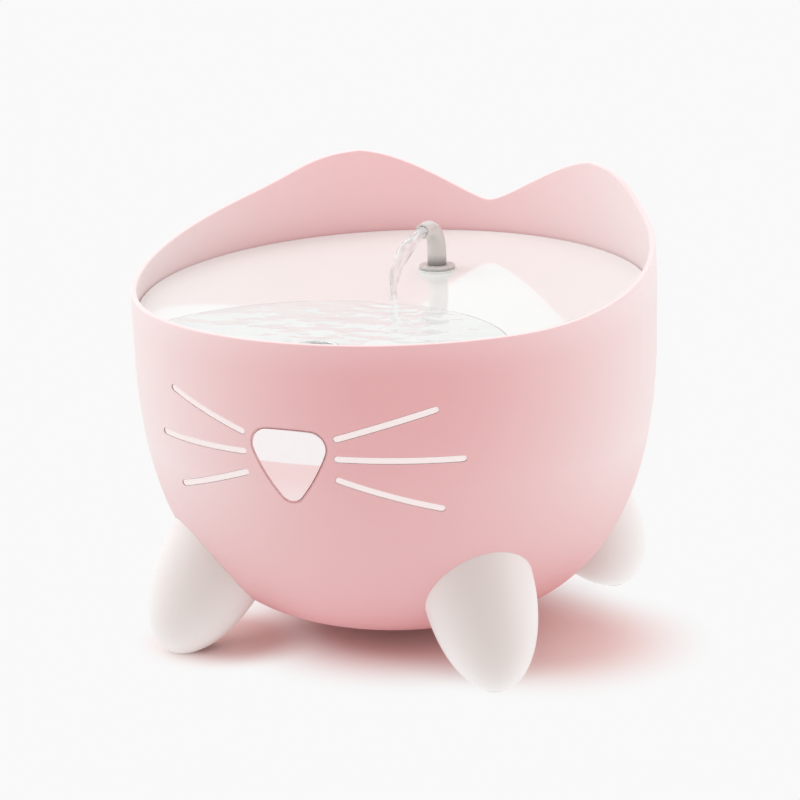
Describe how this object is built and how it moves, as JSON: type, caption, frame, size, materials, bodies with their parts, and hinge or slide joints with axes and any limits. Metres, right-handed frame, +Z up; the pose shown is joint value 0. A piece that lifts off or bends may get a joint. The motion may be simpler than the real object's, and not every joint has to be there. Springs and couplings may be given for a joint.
{
  "type": "pet water fountain",
  "caption": "Round countertop drinking fountain for a cat: bowl on cone feet with a face on its front, two ears on its rear wall, sloping tray and bent spout.",
  "frame": {"origin": "on the floor, under the middle of the bowl", "axes": "+Z up; -Y is the front, where the nose is; +X is to the right of someone who faces the nose"},
  "size_m": [0.2088, 0.2089, 0.1744],
  "materials": {
    "pink_plastic": "satin moulded plastic",
    "white_gloss_plastic": "glossy moulded plastic",
    "foot_plastic": "satin moulded plastic",
    "pearl_plastic": "glossy inlay",
    "spout_plastic": "smoky see-through plastic",
    "grey_rubber": "soft grey rubber",
    "clear_silicone": "milky silicone",
    "pump_plastic": "dark moulded plastic",
    "filter_plastic": "plain moulded plastic",
    "foam": "open-cell foam",
    "carbon": "granules in a fibre pad",
    "steel": "plain steel",
    "laminated_steel": "stacked sheet steel",
    "copper_winding": "enamelled copper wire",
    "ferrite": "sintered magnet",
    "ceramic": "white ceramic",
    "led_glass": "clear dome"
  },
  "bodies": {
    "bowl": {"reservoir_bowl": "pink_plastic", "riser_tube": "clear_silicone", "nose_lens": "pearl_plastic", "nose_gasket": "grey_rubber", "nose_retainer": "filter_plastic", "cable_grommet": "grey_rubber", "foot_screws": "steel", "pump_housing": "pump_plastic", "pump_motor_cap": "pump_plastic", "pump_inlet_cover": "pump_plastic", "pump_led": "led_glass", "pump_cable_gland": "grey_rubber", "stator_core": "laminated_steel", "stator_coil": "copper_winding", "impeller_shaft": "ceramic", "rear_bush": "grey_rubber", "front_bush": "grey_rubber", "foot_front_left": "foot_plastic", "foot_pad_front_left": "grey_rubber", "foot_front_right": "foot_plastic", "foot_pad_front_right": "grey_rubber", "foot_rear_right": "foot_plastic", "foot_pad_rear_right": "grey_rubber", "foot_rear_left": "foot_plastic", "foot_pad_rear_left": "grey_rubber", "suction_cup_front_left": "clear_silicone", "suction_cup_front_right": "clear_silicone", "suction_cup_rear_left": "clear_silicone", "suction_cup_rear_right": "clear_silicone", "whisker_left_upper": "pearl_plastic", "whisker_left_middle": "pearl_plastic", "whisker_left_lower": "pearl_plastic", "whisker_right_upper": "pearl_plastic", "whisker_right_middle": "pearl_plastic", "whisker_right_lower": "pearl_plastic"},
    "rotor": {"rotor_magnet": "ferrite", "impeller": "pump_plastic"},
    "dial": {"flow_dial": "filter_plastic"},
    "tray": {"drinking_tray": "white_gloss_plastic", "spout_seal": "clear_silicone"},
    "spout": {"spout_tube": "spout_plastic", "spout_collar": "spout_plastic"},
    "filter": {"filter_basket": "filter_plastic", "filter_oring": "clear_silicone", "filter_foam": "foam", "filter_carbon": "carbon", "filter_lid": "filter_plastic"}
  },
  "joints": [
    {"name": "impeller_spin", "type": "hinge", "parent": "bowl", "child": "rotor", "pos_m": [0, 0.032, 0.048], "axis": [0, 1, 0], "continuous": true},
    {"name": "dial_turn", "type": "hinge", "parent": "bowl", "child": "dial", "pos_m": [0, 0.0555, 0.048], "axis": [0, 1, 0], "range_deg": [0, 22.5]},
    {"name": "tray_lift", "type": "slide", "parent": "bowl", "child": "tray", "axis": [0, 0, 1], "range_m": [0, 0.012]},
    {"name": "spout_turn", "type": "hinge", "parent": "tray", "child": "spout", "pos_m": [0, 0.0445, 0.14], "axis": [0, 0, 1], "range_deg": [-45, 45]},
    {"name": "filter_pull", "type": "slide", "parent": "tray", "child": "filter", "axis": [0, 0, -1], "range_m": [0, 0.035]}
  ]
}
